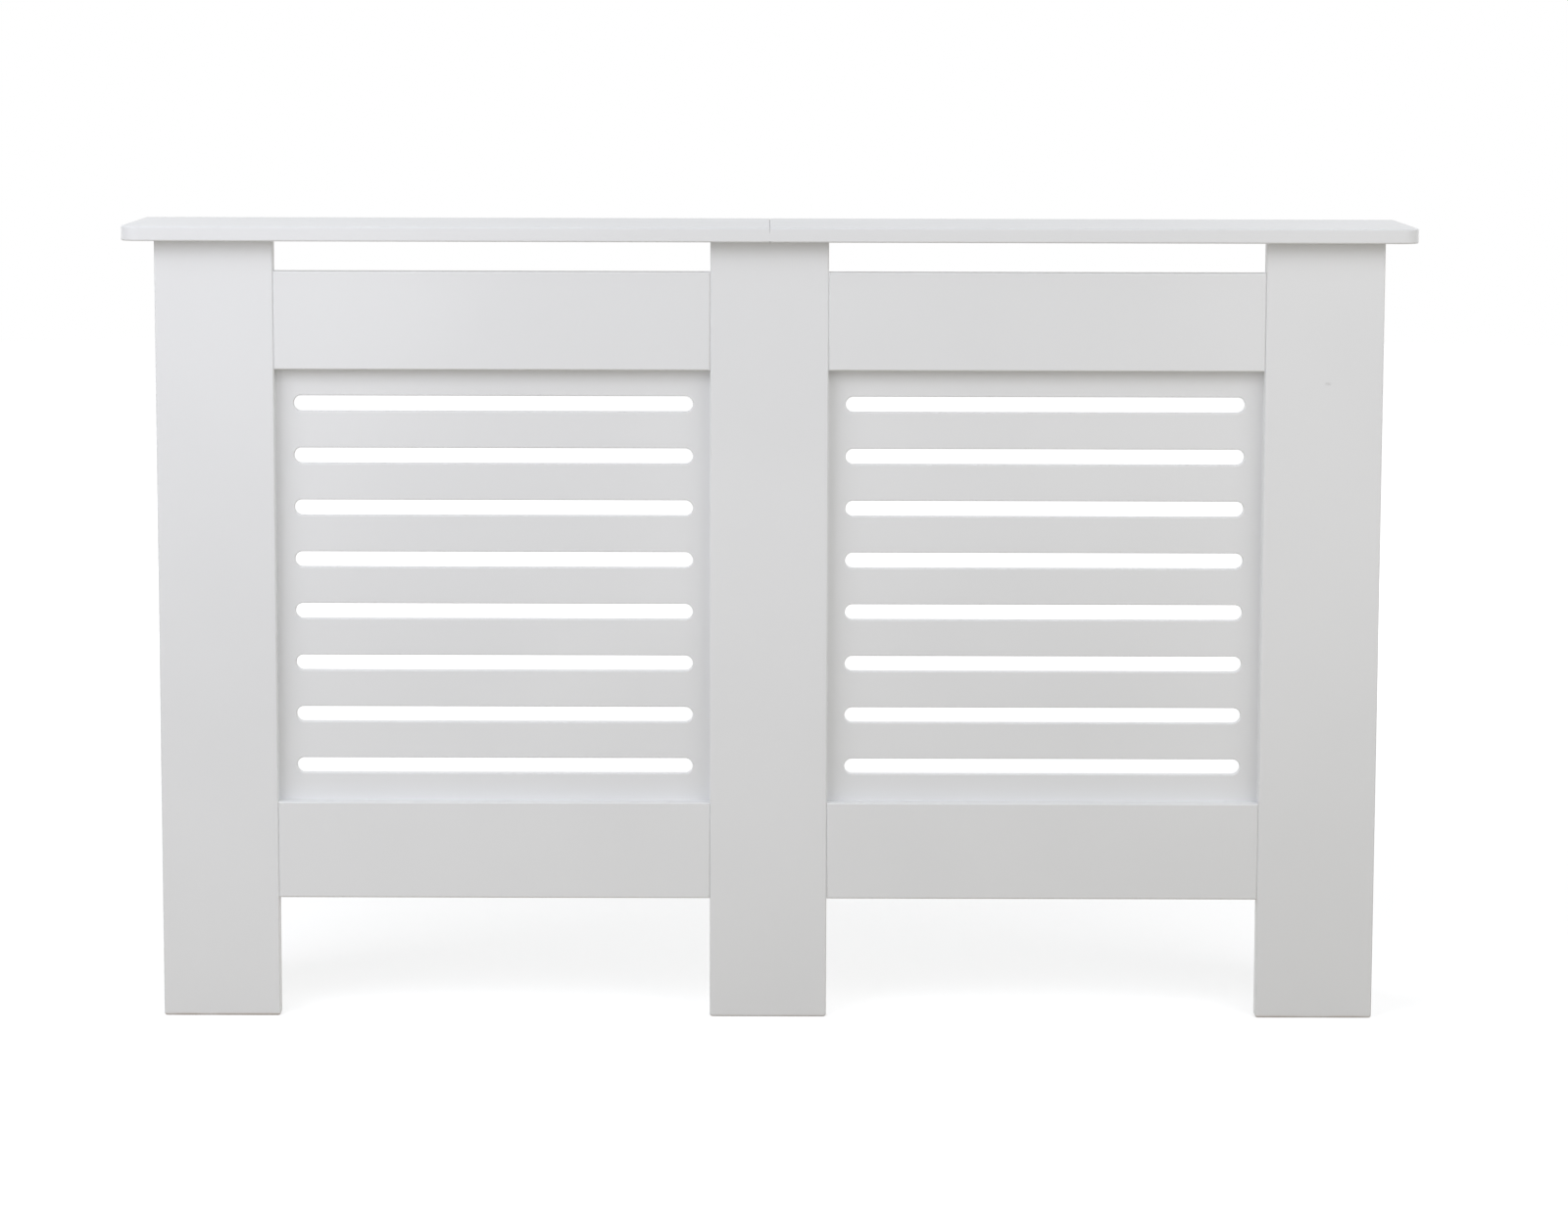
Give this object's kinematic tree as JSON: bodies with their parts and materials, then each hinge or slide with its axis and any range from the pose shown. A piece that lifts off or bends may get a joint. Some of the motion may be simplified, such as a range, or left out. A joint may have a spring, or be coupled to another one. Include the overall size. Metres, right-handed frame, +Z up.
{
  "type": "radiator cover cabinet",
  "caption": "Low open-backed cabinet that stands over a wall radiator: face frame with slotted grille panels, shelf on top, gaps above and below for air.",
  "frame": {"origin": "on the floor, at the centre of the footprint of the shelf: half-way along the cabinet and half-way between the wall and the front of the shelf", "axes": "+X along the cabinet to the right as seen from the room, +Y towards the wall, +Z up"},
  "size_m": [1.312, 0.19, 0.815],
  "materials": {
    "painted_board": "satin white paint on fibreboard",
    "zinc_cam": "die-cast zinc, dull",
    "zinc_plated_steel": "bright zinc plate",
    "beech": "bare beech"
  },
  "bodies": {
    "root": {"bottom_rail_left": "painted_board", "bottom_rail_right": "painted_board", "bracket_screw_left": "zinc_plated_steel", "bracket_screw_right": "zinc_plated_steel", "frame_biscuits_left": "beech", "frame_biscuits_right": "beech", "grille_left": "painted_board", "grille_right": "painted_board", "post_centre": "painted_board", "post_left": "painted_board", "post_right": "painted_board", "seam_plate": "zinc_plated_steel", "seam_plate_screws": "zinc_plated_steel", "shelf_dowels_left": "beech", "shelf_dowels_right": "beech", "shelf_left": "painted_board", "shelf_right": "painted_board", "side_cam_bolts_left": "zinc_plated_steel", "side_cam_bolts_right": "zinc_plated_steel", "side_cams_left": "zinc_cam", "side_cams_right": "zinc_cam", "side_panel_left": "painted_board", "side_panel_right": "painted_board", "top_rail_left": "painted_board", "top_rail_right": "painted_board", "wall_bracket_left": "zinc_plated_steel", "wall_bracket_right": "zinc_plated_steel"}
  },
  "joints": []
}
